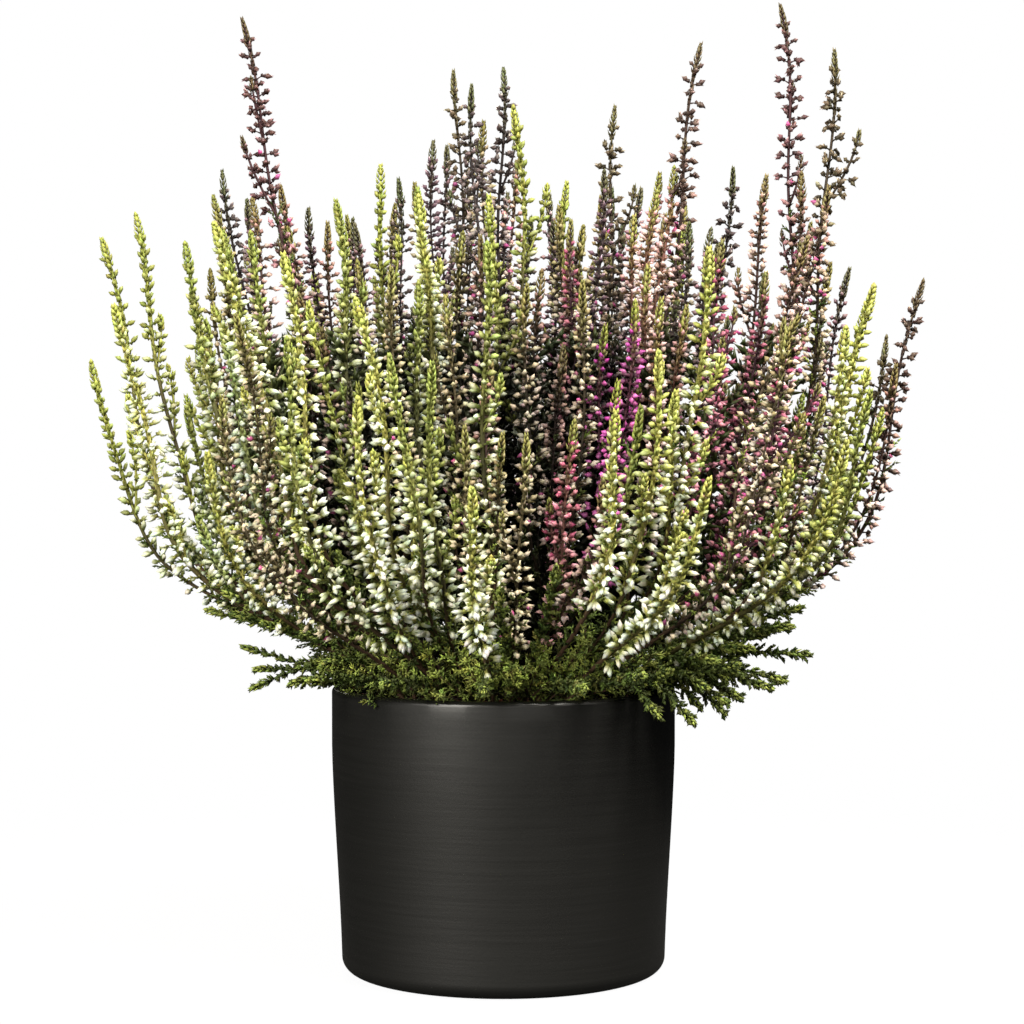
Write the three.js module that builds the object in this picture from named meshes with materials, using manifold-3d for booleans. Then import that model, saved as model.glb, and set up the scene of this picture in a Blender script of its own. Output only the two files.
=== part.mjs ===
// Potted heather: three kinds of bud-blooming heather grown into one bush, in a plain stoneware planter.
// Millimetres, +Z up. The origin is the centre of the planter's flat foot.
import * as THREE from "three";
import { mergeVertices } from "three/addons/utils/BufferGeometryUtils.js";
import Module from "manifold-3d";

const wasm = await Module();
wasm.setup();

// Planter: straight at the rim, then a slight taper to a rounded foot edge.
const PLANTER_HEIGHT = 116;
const RIM_RADIUS = 70;
const TAPER_FROM = 90;
const FOOT_CURVE = 6;
const BELLY_RADIUS = 66;
const FOOT_RADIUS = 60;
const WALL = 5;
const FLOOR = 7;
const LIP_CURVE = 2.2;
const PLANTER_SEGMENTS = 40;

// Soil, and the stems that stand in it.
const FIT_GAP = 0.3;
const SOIL_TOP = 111;
const SOIL_EDGE = 4;
const SOIL_SEGMENTS = 24;
const HOLE_SIDES = 5;
const HOLE_DEPTH = 13;
const HOLE_RADIUS = 2.3;
const STEM_DEPTH = 12;
const STEM_RADIUS = 1.7;
const TWIG_RADIUS = 1.2;

// The bush spreads like a fountain: at every height it is one disc of shoots, and only the disc grows. Heights
// are above the soil, and a place on the disc is a vector no longer than about 1.
const CROWN_AT_SOIL = 52;
const CROWN_SPREAD = 80;
const SPREAD_HEIGHT = 38;
const CROWN_FLARE = 0.21;
const SHOOT_COUNT = 86;
const SPRAY_COUNT = 54;
const SEED = 7;
const PLACE_TRIES = 60;
const GROUPING_ROUNDS = 12;
const CURVE_STEP = 9;

// The dome that the tips of the inner shoots make: its top, and how much lower it is at the edge and in front.
const DOME_TOP = 220;
const DOME_TO_EDGE = 62;
const DOME_TO_FRONT = 70;
const DOME_UNEVEN = 20;

// Where side shoots leave their stem, how far up they stand by themselves, and where a top begins to lean.
const SIDE_SHOOTS_FROM = 16;
const SIDE_SHOOT_STEP = 8;
const SETTLE = 45;
const LEAN_FROM = 70;

// A flower spike, from its tip down.
const TIP_LENGTH = 15;
const TIP_RADIUS = 2;
const BUDS_FROM = 19;
const BUD_STEP = 11;
const BUD_REACH = 5;
const SMALL_BUD_REACH = 3;
const FULL_BUDS_FROM = 55;
const BUD_RISE = 2.6;
const FLOWER_LENGTH = 120;
const LEAF_STEP = 20;
const LEAF_REACH = 4.2;
const LEAF_RISE = 4.5;
const BARE_STEM = 14;
const BARE_TWIG = 10;
const ROOM_SHARE = 0.38;
const SIDES = 4;

// Short leafy sprigs at the foot of the bush. The outermost lie out over the rim: radius and height on their way.
const SPRIGS_FROM = 0.4;
const SPRIG_HEIGHT = 8;
const SPRIG_TOP = [48, 72];
const SPRIG_ASIDE = 0.07;
const OVER_RIM = [
  [62, 10],
  [72, 12],
  [84, 12.5],
];
const OVER_RIM_REACH = [92, 112];
const OVER_RIM_END = [10, 21];
const SAME_LINE = 0.15;

const COLOURS = { cream: 0xbfc28a, rose: 0x8f4f62, plum: 0x4b3644, planter: 0x343332, soil: 0x3b2a20 };

// The spikes that give the bush its outline: tip x, y, height above the soil, kind, and how far the top leans in x.
const LEADING_SPIKES = [
  [-163, -24, 137, "cream", 0],
  [-167, 25, 190, "cream", 0],
  [-150, -8, 197, "cream", 0],
  [-126, -40, 183, "cream", -4],
  [-112, -62, 189, "cream", -14],
  [-118, 34, 219, "plum", -4],
  [-108, 8, 278, "rose", -12],
  [-101, -30, 188, "cream", -4],
  [-82, 42, 204, "plum", 0],
  [-67, 0, 193, "cream", 0],
  [-52, 14, 219, "cream", 0],
  [-73, -75, 158, "cream", -6],
  [-53, -102, 158, "cream", -6],
  [-46, 52, 217, "plum", 0],
  [-33, -12, 207, "cream", 0],
  [-30, 24, 230, "plum", 0],
  [-20, 50, 263, "plum", 0],
  [-13, 4, 251, "plum", -3],
  [-1, 26, 261, "plum", 0],
  [5, -16, 239, "cream", -6],
  [-4, -54, 200, "cream", 0],
  [-20, -82, 160, "cream", 0],
  [-27, -112, 134, "cream", 0],
  [-12, -150, 89, "cream", 0],
  [-52, -128, 121, "cream", 0],
  [-114, -70, 101, "cream", 0],
  [21, 6, 195, "plum", 0],
  [27, 42, 215, "cream", 0],
  [40, -12, 214, "plum", 0],
  [47, 20, 244, "rose", 0],
  [80, -6, 266, "rose", 6],
  [95, 22, 219, "plum", 0],
  [73, -36, 191, "plum", 0],
  [77, -96, 177, "cream", 0],
  [114, 20, 286, "rose", -30],
  [133, -8, 263, "rose", -14],
  [146, -28, 167, "cream", 0],
  [150, 32, 161, "cream", 0],
  [171, 2, 171, "rose", 0],
  [102, -46, 171, "rose", 0],
  [58, -110, 138, "cream", 0],
  [42, -132, 116, "cream", 0],
  [26, -88, 113, "rose", 0],
  [74, -135, 92, "cream", 0],
  [50, -62, 159, "rose", 0],
  [85, -66, 182, "rose", 0],
  [141, 62, 148, "plum", 0],
  [143, -54, 125, "cream", 0],
  [128, -84, 105, "cream", 0],
  [-134, 46, 120, "cream", 0],
];

// Where each kind is planted on the disc, for the shoots between the leading ones.
const PLANTED = [
  { kind: "cream", at: new THREE.Vector2(-0.5, -0.4) },
  { kind: "rose", at: new THREE.Vector2(0.6, -0.1) },
  { kind: "plum", at: new THREE.Vector2(0.0, 0.5) },
  { kind: "cream", at: new THREE.Vector2(-0.7, 0.5) },
];

// A small repeatable generator of numbers from 0 to 1.
function seeded(seed) {
  let state = seed;
  return () => {
    state = (state + 0x6d2b79f5) | 0;
    let t = Math.imul(state ^ (state >>> 15), 1 | state);
    t = (t + Math.imul(t ^ (t >>> 7), 61 | t)) ^ t;
    return ((t ^ (t >>> 14)) >>> 0) / 4294967296;
  };
}
const random = seeded(SEED);
const between = (low, high) => low + (high - low) * random();
const smooth = (low, high, value) => THREE.MathUtils.smoothstep(value, low, high);

// The radius of the bush's disc at a height above the soil.
function crownRadius(height) {
  const above = Math.max(height, 0);
  return CROWN_AT_SOIL + CROWN_SPREAD * (1 - Math.exp(-((above / SPREAD_HEIGHT) ** 2))) + CROWN_FLARE * above;
}

// A closed geometry as a manifold-3d solid.
function solidOf(geometry) {
  const bare = geometry.index ? geometry.toNonIndexed() : geometry.clone();
  bare.deleteAttribute("normal");
  bare.deleteAttribute("uv");
  const merged = mergeVertices(bare, 1e-4);
  const corners = [];
  for (let i = 0; i < merged.index.count; i += 3) {
    const [a, b, c] = [0, 1, 2].map((step) => merged.index.getX(i + step));
    if (a !== b && b !== c && c !== a) corners.push(a, b, c);
  }
  return new wasm.Manifold(
    new wasm.Mesh({
      numProp: 3,
      vertProperties: merged.attributes.position.array,
      triVerts: new Uint32Array(corners),
    }),
  );
}

function meshOf(name, solid, colour, roughness) {
  const made = solid.getMesh();
  const geometry = new THREE.BufferGeometry();
  geometry.setAttribute("position", new THREE.BufferAttribute(made.vertProperties, 3));
  geometry.setIndex(new THREE.BufferAttribute(made.triVerts, 1));
  geometry.computeVertexNormals();
  const material = new THREE.MeshStandardMaterial({ color: colour, roughness, metalness: 0 });
  const mesh = new THREE.Mesh(geometry, material);
  mesh.name = name;
  return mesh;
}

// Points on a quarter round in a lathe profile, from one angle to another in degrees.
function quarterRound(x, z, radius, from, to, steps) {
  return Array.from({ length: steps + 1 }, (_, i) => {
    const angle = THREE.MathUtils.degToRad(from + ((to - from) * i) / steps);
    return new THREE.Vector2(x + radius * Math.cos(angle), z + radius * Math.sin(angle));
  });
}

function turned(profile, segments) {
  return solidOf(new THREE.LatheGeometry(profile, segments).rotateX(Math.PI / 2));
}

// The planter's inner wall radius at a height, which the soil follows.
const innerRadius = (z) =>
  THREE.MathUtils.mapLinear(Math.min(z, TAPER_FROM), FOOT_CURVE, TAPER_FROM, BELLY_RADIUS, RIM_RADIUS) - WALL;

function planterSolid() {
  const floorCurve = WALL;
  const lipInner = RIM_RADIUS - WALL + LIP_CURVE;
  return turned(
    [
      new THREE.Vector2(0, 0),
      ...quarterRound(FOOT_RADIUS, FOOT_CURVE, FOOT_CURVE, -90, 0, 3),
      new THREE.Vector2(RIM_RADIUS, TAPER_FROM),
      ...quarterRound(RIM_RADIUS - LIP_CURVE, PLANTER_HEIGHT - LIP_CURVE, LIP_CURVE, 0, 90, 2),
      ...quarterRound(lipInner, PLANTER_HEIGHT - LIP_CURVE, LIP_CURVE, 90, 180, 2),
      new THREE.Vector2(innerRadius(TAPER_FROM), TAPER_FROM),
      ...quarterRound(innerRadius(FLOOR + floorCurve) - floorCurve, FLOOR + floorCurve, floorCurve, 0, -90, 1),
      new THREE.Vector2(0, FLOOR),
    ],
    PLANTER_SEGMENTS,
  );
}

// The root ball: it fills the planter to just under the rim, and has one plain blind hole for each stem.
function soilSolid(roots) {
  const bottom = FLOOR + FIT_GAP;
  const shoulder = SOIL_TOP - SOIL_EDGE / 2;
  let ball = turned(
    [
      new THREE.Vector2(0, bottom),
      new THREE.Vector2(innerRadius(bottom) - WALL - FIT_GAP, bottom),
      new THREE.Vector2(innerRadius(bottom + WALL) - 2 * FIT_GAP, bottom + WALL),
      new THREE.Vector2(innerRadius(TAPER_FROM) - 2 * FIT_GAP, TAPER_FROM),
      new THREE.Vector2(innerRadius(TAPER_FROM) - 2 * FIT_GAP, shoulder),
      new THREE.Vector2(innerRadius(TAPER_FROM) - SOIL_EDGE, SOIL_TOP),
      new THREE.Vector2(0, SOIL_TOP),
    ],
    SOIL_SEGMENTS,
  );
  const cutDepth = HOLE_DEPTH + 1;
  for (const root of roots) {
    const hole = new THREE.CylinderGeometry(HOLE_RADIUS, HOLE_RADIUS, cutDepth, HOLE_SIDES);
    hole.rotateX(Math.PI / 2);
    hole.translate(root.x * CROWN_AT_SOIL, root.y * CROWN_AT_SOIL, SOIL_TOP + 1 - cutDepth / 2);
    ball = ball.subtract(solidOf(hole));
  }
  return ball;
}

// The height of a shoot between the leading ones: a dome that is lower towards the front.
function domeHeight(at) {
  const dome = DOME_TOP - DOME_TO_EDGE * at.lengthSq() - DOME_TO_FRONT * Math.min(at.y, 0) ** 2;
  return dome + between(-DOME_UNEVEN, DOME_UNEVEN);
}

// All shoots as places on the unit disc, each with its height and kind: the leading spikes first, then shoots
// that each take the emptiest of a few random places.
function growShoots() {
  const shoots = LEADING_SPIKES.map(([x, y, height, kind, lean]) => {
    const at = new THREE.Vector2(x - lean, y).divideScalar(crownRadius(height));
    return { at, height, kind, lean };
  });
  while (shoots.length < SHOOT_COUNT) {
    let best = null;
    let widest = 0;
    for (let tries = 0; tries < PLACE_TRIES; tries++) {
      const angle = between(0, 2 * Math.PI);
      const radius = Math.sqrt(random());
      const at = new THREE.Vector2(radius * Math.cos(angle), radius * Math.sin(angle));
      const gap = Math.min(...shoots.map((other) => other.at.distanceTo(at)));
      if (gap > widest) [best, widest] = [at, gap];
    }
    const nearest = PLANTED.reduce((a, b) => (b.at.distanceTo(best) < a.at.distanceTo(best) ? b : a));
    shoots.push({ at: best, height: domeHeight(best), kind: nearest.kind, lean: 0 });
  }
  for (const shoot of shoots) {
    const gaps = shoots.filter((other) => other !== shoot).map((other) => other.at.distanceTo(shoot.at));
    shoot.clearance = ROOM_SHARE * Math.min(...gaps);
  }
  return shoots;
}

// How far a shoot is from a root of its own kind. No other root can carry it.
function gapToRoot(shoot, root) {
  return root.kind === shoot.kind ? root.at.distanceTo(shoot.at) : Infinity;
}

const nearestRoot = (shoot, roots) =>
  roots.reduce((a, b) => (gapToRoot(shoot, b) < gapToRoot(shoot, a) ? b : a));

// Shoots of one kind that stand close together share one stem, and their root is in the middle of them.
function groupShoots(shoots) {
  const roots = [{ at: shoots[0].at, kind: shoots[0].kind }];
  while (roots.length < SPRAY_COUNT) {
    const gaps = shoots.map((shoot) => gapToRoot(shoot, nearestRoot(shoot, roots)));
    const farthest = shoots[gaps.indexOf(Math.max(...gaps))];
    roots.push({ at: farthest.at, kind: farthest.kind });
  }
  for (let round = 0; round < GROUPING_ROUNDS; round++) {
    for (const root of roots) root.shoots = [];
    for (const shoot of shoots) nearestRoot(shoot, roots).shoots.push(shoot);
    for (const root of roots) {
      const sum = root.shoots.reduce((total, shoot) => total.add(shoot.at), new THREE.Vector2());
      root.at = sum.divideScalar(root.shoots.length);
    }
  }
  return roots.map(({ at, kind, shoots: group }) => ({
    root: at,
    kind,
    shoots: group.sort((a, b) => b.height - a.height),
    outermost: !roots.some((other) => standsOutside(other.at, at)),
  }));
}

// Whether one root stands further out than another on nearly the same line from the middle.
function standsOutside(other, root) {
  const outward = root.clone().normalize();
  return other.dot(outward) > root.length() + 1e-3 && Math.abs(other.cross(outward)) < SAME_LINE;
}

// A point of the bush from a place on the disc and a height above the soil.
function place(at, height) {
  const radius = crownRadius(height);
  return new THREE.Vector3(at.x * radius, at.y * radius, SOIL_TOP + height);
}

// The place on the disc of a point of the bush.
function discPlace(point) {
  return new THREE.Vector2(point.x, point.y).divideScalar(crownRadius(point.z - SOIL_TOP));
}

// The way of a shoot from a given place and height. It reaches its own place on the disc SETTLE further up.
function shootWay(from, start, shoot) {
  const points = [];
  const steps = Math.ceil((shoot.height - start) / CURVE_STEP);
  for (let i = 0; i <= steps; i++) {
    const height = start + ((shoot.height - start) * i) / steps;
    const settled = Math.sin((Math.PI / 2) * Math.min(1, (height - start) / SETTLE));
    const point = place(from.clone().lerp(shoot.at, settled), height);
    point.x += shoot.lean * Math.max(0, (height - LEAN_FROM) / (shoot.height - LEAN_FROM)) ** 2;
    points.push(point);
  }
  return points;
}

// The rings of a spike from its tip down to its foot. Each holds its distance from the tip, the stem's radius,
// how far its buds or leaves stand out, and how far they point up.
function spikeRings(length, flowers, foot) {
  const rings = [plainRing(0, 0), plainRing(TIP_LENGTH, TIP_RADIUS)];
  let back = BUDS_FROM;
  while (back < flowers && back < length - foot.bare) {
    const reach = SMALL_BUD_REACH + (BUD_REACH - SMALL_BUD_REACH) * smooth(TIP_LENGTH, FULL_BUDS_FROM, back);
    rings.push({ back, stem: TWIG_RADIUS, reach, rise: BUD_RISE });
    back += BUD_STEP;
  }
  while (back < length - foot.bare) {
    rings.push({ back, stem: TWIG_RADIUS, reach: LEAF_REACH, rise: LEAF_RISE });
    back += LEAF_STEP;
  }
  return rings.concat(foot.ends.map((end) => plainRing(length - end, foot.radius)));
}

function plainRing(back, radius) {
  return { back, stem: radius, reach: radius, rise: 0 };
}

// The foot of a main stem, which stands in its hole, and of a shoot that grows from another: the length that is
// bare, and where its plain rings lie along it.
const MAIN_FOOT = { bare: STEM_DEPTH + BARE_STEM, radius: STEM_RADIUS, ends: [STEM_DEPTH + 1, 0] };
const SIDE_FOOT = { bare: BARE_TWIG, radius: TWIG_RADIUS * 0.8, ends: [0] };

// A four-sided stem along a curve, from a cone. On each ring in turn one pair of opposite corners is drawn out
// into buds. The axis is the line of the rings' middles, from the tip down.
function growSpike(points, flowers, foot, clearance) {
  const curve = new THREE.CatmullRomCurve3(points, false, "centripetal");
  const length = curve.getLength();
  const rings = spikeRings(length, flowers, foot);
  const along = rings.map((ring) => curve.getTangentAt(THREE.MathUtils.clamp(1 - ring.back / length, 0, 1)));
  const axis = rings.map((ring) => curve.getPointAt(THREE.MathUtils.clamp(1 - ring.back / length, 0, 1)));
  const spin = between(0, Math.PI / 2);
  const tangent = new THREE.Vector3(-axis[0].y, axis[0].x, 0).normalize();
  const levels = rings.length - 1;
  const geometry = new THREE.ConeGeometry(1, 1, SIDES, levels);
  const position = geometry.attributes.position;
  for (let i = 0; i < position.count; i++) {
    const [x, y, z] = [position.getX(i), position.getY(i), position.getZ(i)];
    const level = Math.round((0.5 - y) * levels);
    const { stem, reach, rise } = rings[level];
    const corner = Math.round(Math.atan2(x, z) / (Math.PI / 2)) + SIDES;
    const drawn = (corner + level) % 2 === 0 && rise > 0;
    const room = clearance * crownRadius(axis[level].z - SOIL_TOP);
    const radius = Math.hypot(x, z) < 1e-6 ? 0 : drawn ? Math.min(reach, room) : stem;
    const side = tangent.clone().addScaledVector(along[level], -tangent.dot(along[level])).normalize();
    const face = new THREE.Vector3().crossVectors(side, along[level]);
    const angle = (corner * Math.PI) / 2 + spin;
    const point = axis[level].clone();
    point.addScaledVector(side, radius * Math.sin(angle));
    point.addScaledVector(face, radius * Math.cos(angle));
    if (drawn && radius > 0) point.addScaledVector(along[level], Math.min(rise, radius));
    position.setXYZ(i, point.x, point.y, point.z);
  }
  return { solid: solidOf(geometry), axis };
}

// The point of a spike's axis at a height above the soil.
function pointOnAxis(axis, height) {
  const lower = axis.findIndex((point) => point.z - SOIL_TOP < height);
  const [above, below] = [axis[lower - 1], axis[lower]];
  return below.clone().lerp(above, (height + SOIL_TOP - below.z) / (above.z - below.z));
}

// The way of a short leafy sprig from a point of a stem. On the outermost stems it lies out over the rim.
function sprigWay(root, foot, outermost) {
  if (outermost) {
    const outward = root.clone().normalize();
    const profile = [...OVER_RIM, [between(...OVER_RIM_REACH), between(...OVER_RIM_END)]];
    return [foot, ...profile.map(([r, h]) => new THREE.Vector3(outward.x * r, outward.y * r, SOIL_TOP + h))];
  }
  const at = new THREE.Vector2(between(-1, 1), between(-1, 1)).setLength(SPRIG_ASIDE).add(root);
  return shootWay(discPlace(foot), foot.z - SOIL_TOP, { at, height: between(...SPRIG_TOP), lean: 0 });
}

// One spray: the tallest shoot runs down into the soil, the others and a leafy sprig grow from points on it.
function spraySolid({ root, shoots, outermost }) {
  const [lead, ...others] = shoots;
  const buried = [-STEM_DEPTH, -STEM_DEPTH / 2].map((height) => place(root, height));
  const main = growSpike([...buried, ...shootWay(root, 0, lead)], FLOWER_LENGTH, MAIN_FOOT, lead.clearance);
  const grown = others.map((shoot, i) => {
    const foot = pointOnAxis(main.axis, SIDE_SHOOTS_FROM + SIDE_SHOOT_STEP * i);
    const way = shootWay(discPlace(foot), foot.z - SOIL_TOP, shoot);
    return growSpike(way, FLOWER_LENGTH, SIDE_FOOT, shoot.clearance);
  });
  if (root.length() > SPRIGS_FROM) {
    const foot = pointOnAxis(main.axis, SPRIG_HEIGHT);
    grown.push(growSpike(sprigWay(root, foot, outermost), 0, SIDE_FOOT, lead.clearance));
  }
  return grown.reduce((spray, { solid }) => spray.add(solid), main.solid);
}

const sprays = groupShoots(growShoots());
const heather = new THREE.Group();
heather.add(meshOf("planter", planterSolid(), COLOURS.planter, 0.55));
heather.add(meshOf("soil", soilSolid(sprays.map((spray) => spray.root)), COLOURS.soil, 0.95));
sprays.forEach((spray, i) => {
  const name = `spray_${String(i + 1).padStart(2, "0")}_${spray.kind}`;
  heather.add(meshOf(name, spraySolid(spray), COLOURS[spray.kind], 0.8));
});

export default heather;
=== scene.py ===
"""Potted heather: the looks of three kinds of heather in bud, which grow as one bush in a stoneware planter.

The sprays follow the same rule as the solids that they stand for, so lengths are in the solids' millimetres
until a mesh is made. A shoot has a place on the bush's unit disc, which widens with the height.
"""

import math
from collections import namedtuple
from types import SimpleNamespace

import bpy
import numpy as np
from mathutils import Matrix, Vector


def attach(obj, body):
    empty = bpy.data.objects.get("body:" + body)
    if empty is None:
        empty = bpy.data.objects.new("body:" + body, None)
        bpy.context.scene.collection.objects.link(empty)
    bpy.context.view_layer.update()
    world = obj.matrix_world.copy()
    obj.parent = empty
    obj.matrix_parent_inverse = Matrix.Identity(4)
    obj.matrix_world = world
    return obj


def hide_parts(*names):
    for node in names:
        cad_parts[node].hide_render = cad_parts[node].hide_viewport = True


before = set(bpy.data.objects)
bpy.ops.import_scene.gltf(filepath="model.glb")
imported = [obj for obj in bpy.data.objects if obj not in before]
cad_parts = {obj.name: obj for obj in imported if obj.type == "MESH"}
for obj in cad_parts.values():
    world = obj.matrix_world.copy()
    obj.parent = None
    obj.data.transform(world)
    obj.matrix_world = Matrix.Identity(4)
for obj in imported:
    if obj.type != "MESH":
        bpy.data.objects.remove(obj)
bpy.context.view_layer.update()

MM = 0.001
TINY = 1e-9

# The planter and the soil, as in the solids.
PLANTER_HEIGHT = 116
RIM_RADIUS = 70
TAPER_FROM = 90
FOOT_CURVE = 6
FOOT_RADIUS = 60
BELLY_RADIUS = FOOT_RADIUS + FOOT_CURVE
WALL = 5
FLOOR = 7
LIP_CURVE = 2.2
ROUND_SIDES = 128
SOIL_TOP = PLANTER_HEIGHT - 5
STEM_DEPTH = 12

# The bush, as in the solids: its disc and how that widens, its shoots, and the dome that most reach.
CROWN_AT_SOIL = 52
CROWN_SPREAD = 80
SPREAD_HEIGHT = 38
CROWN_FLARE = 0.21
SHOOT_COUNT = 86
SPRAY_COUNT = 54
SEED = 7
PLACE_TRIES = 60
GROUPING_ROUNDS = 12
DOME_TOP = 220
DOME_TO_EDGE = 62
DOME_TO_FRONT = 70
DOME_UNEVEN = 20
SIDE_SHOOTS_FROM = 16
SIDE_SHOOT_STEP = 8
SETTLE = 45
LEAN_FROM = 70

# The sprigs, as in the solids. On the outermost stems they lie over the rim: (radius, height) points.
SPRIGS_FROM = 0.4
SPRIG_HEIGHT = 8
SPRIG_TOP = (48, 72)
SPRIG_ASIDE = 0.07
OVER_RIM = [(62, 10), (72, 12), (84, 12.5)]
OVER_RIM_REACH = (92, 112)
OVER_RIM_END = (10, 21)
SAME_LINE = 0.15

# The shoots sway a little about the solids' lines, more with the height, and each at a place of its own.
SWAY = 1.5
SWAY_HEIGHT = 17
SWAY_GROWS = (20, 80)
SWAY_APART = (40, 25)

# Tip x, y, height above the soil, kind and tone. Some have the lean of their top in x, and then the share
# of their length that flowers.
LEADING_SPIKES = """
-163 -24 137 cream lime
-167 25 190 cream lime
-150 -8 197 cream lime
-126 -40 183 cream green -4
-112 -62 189 cream cream -14
-118 34 219 plum sable -4
-108 8 278 rose wine -12
-101 -30 188 cream green -4
-82 42 204 plum plum
-67 0 193 cream green
-52 14 219 cream lime
-73 -75 158 cream lime -6
-53 -102 158 cream cream -6 0.8
-46 52 217 plum dark
-33 -12 207 cream green
-30 24 230 plum plum
-20 50 263 plum bronze
-13 4 251 plum sable -3
-1 26 261 plum sable
5 -16 239 cream lime -6
-4 -54 200 cream lime
-20 -82 160 cream umber
-27 -112 134 cream green 0 0.82
-12 -150 89 cream cream
-52 -128 121 cream cream 0 0.84
-114 -70 101 cream cream 0 0.86
21 6 195 plum plum
27 42 215 cream lime
40 -12 214 plum plum
47 20 244 rose bronze
80 -6 266 rose russet 6
95 22 219 plum sable
73 -36 191 plum dark
77 -96 177 cream gold
114 20 286 rose wine -30
133 -8 263 rose bronze -14
146 -28 167 cream gold 0 0.82
150 32 161 cream lime
171 2 171 rose russet
102 -46 171 rose maroon
58 -110 138 cream gold
42 -132 116 cream cream 0 0.5
26 -88 113 rose coral
74 -135 92 cream cream
50 -62 159 rose magenta
85 -66 182 rose maroon
141 62 148 plum plum
143 -54 125 cream green 0 0.86
128 -84 105 cream gold 0 0.88
-134 46 120 cream green
"""

# Lower spikes inside the bush, which have no solid of their own and grow on the sprays' stems.
INNER_SPIKES = """
105 -20 172 plum dark
124 14 216 rose brown -4
131 -10 208 rose brown 6
136 -40 150 cream cream
150 -22 118 cream lime
123 -58 122 cream umber
108 -76 98 cream cream
-100 -20 152 cream umber
-84 -4 165 rose brown -2
-118 -14 142 plum olive -4
-94 -50 122 cream umber
-70 -38 150 plum brown
-58 -60 128 plum mauve
-34 -60 166 cream green
-10 -48 185 plum brown
10 -66 165 rose olive
-5 -86 136 plum brown
22 -58 142 rose brown
32 -38 190 rose olive
60 -28 204 rose pink
54 -12 196 rose pink
58 -44 174 rose pink
72 4 193 rose green
14 12 160 plum dark
-134 -34 84 cream frost
-128 12 92 cream frost
-118 -54 76 cream frost
132 -42 86 cream cream
138 -14 96 cream umber
88 -44 148 rose maroon
62 -60 160 rose pink
14 -40 172 rose brown
84 -20 190 plum mauve
0 -104 108 plum olive
44 -84 128 rose magenta
36 -104 92 rose brown
128 20 196 rose maroon
142 6 176 plum mauve
120 -30 186 rose brown 4
138 30 180 rose olive
24 -10 200 rose olive
40 34 208 plum olive
-8 38 240 plum olive
-108 26 206 plum mauve -3
-116 -6 182 cream umber
-90 18 196 cream umber
-74 22 196 plum brown
-60 -8 178 cream umber
-92 30 212 rose brown -4
-104 2 204 rose brown -4
-62 34 196 plum mauve
-36 38 214 plum olive
10 42 200 plum dark
68 -10 216 rose pink 2
66 26 200 rose brown
88 12 186 plum mauve
160 -6 136 rose brown
157 6 148 rose bronze
62 -4 214 rose pink
70 -52 158 rose pink
26 -34 180 rose pink
-62 -84 94 cream cream -4
-36 -104 104 cream cream 0 0.84
40 -58 150 rose magenta
50 -100 118 cream green 0 0.55
66 -92 124 cream cream 0 0.55
118 -50 112 cream umber
134 -28 114 cream gold
122 4 124 cream green
-112 -10 190 cream green
-122 20 176 cream olive
-26 60 232 plum mauve
4 62 226 plum brown
48 60 214 plum dark
78 40 206 rose olive
-96 48 200 plum dark -4
-112 -40 150 cream frost -6
"""

# The kind that grows round each of these places on the disc.
PLANTED = [("cream", (-0.5, -0.4)), ("rose", (0.6, -0.1)), ("plum", (0.0, 0.5)), ("cream", (-0.7, 0.5))]

# The tones that the shoots between the listed ones take, by kind.
FILL_TONES = {
    "cream": ["umber", "cream", "green", "umber"],
    "rose": ["brown", "maroon", "olive", "brown"],
    "plum": ["mauve", "dark", "olive", "mauve"],
}

# The forms that a flower spike takes: the width of its leafy tip, the step from one pair of buds to the
# next, how far below the tip they are full grown, the length and radius of small and full ones, how far
# they stand from the stem and how steeply they rise in degrees, both near the tip and lower down, where
# they start to stand in clusters and how unevenly those point, how many pale petal points a bud shows
# beside one more dark bract, the stem's radius, and how far down scale leaves hide it.
FORM_ROW = "tip_width step full_from small full stalk rise clusters spread points stem leafy_to"
Form = namedtuple("Form", FORM_ROW)
FORMS = {
    "slim": Form(1.6, 3.6, 60, (3.2, 1.0), (4.4, 1.2), (0.8, 2.4), (50, 25), (80, 140), 0.6, 0, 0.7, 70),
    "rich": Form(2.0, 2.6, 48, (3.1, 0.9), (4.6, 1.18), (0.9, 3.0), (50, 2), (20, 65), 0.6, 0, 1.0, 75),
    "pale": Form(1.7, 3.2, 60, (3.1, 0.95), (4.6, 1.18), (0.7, 2.6), (55, 12), (40, 100), 0.6, 0, 0.85, 65),
    "dark": Form(1.4, 2.8, 28, (2.7, 0.85), (3.5, 1.0), (0.9, 2.6), (55, 18), (30, 75), 0.6, 1, 0.5, 32),
    "loose": Form(1.2, 3.9, 26, (2.9, 0.95), (3.9, 1.1), (1.0, 2.6), (40, 8), (4, 34), 1.0, 1, 0.6, 36),
    "fluffy": Form(1.5, 2.8, 28, (2.8, 0.85), (3.7, 1.02), (0.9, 2.8), (52, 15), (15, 55), 0.6, 1, 0.55, 32),
}

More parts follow.
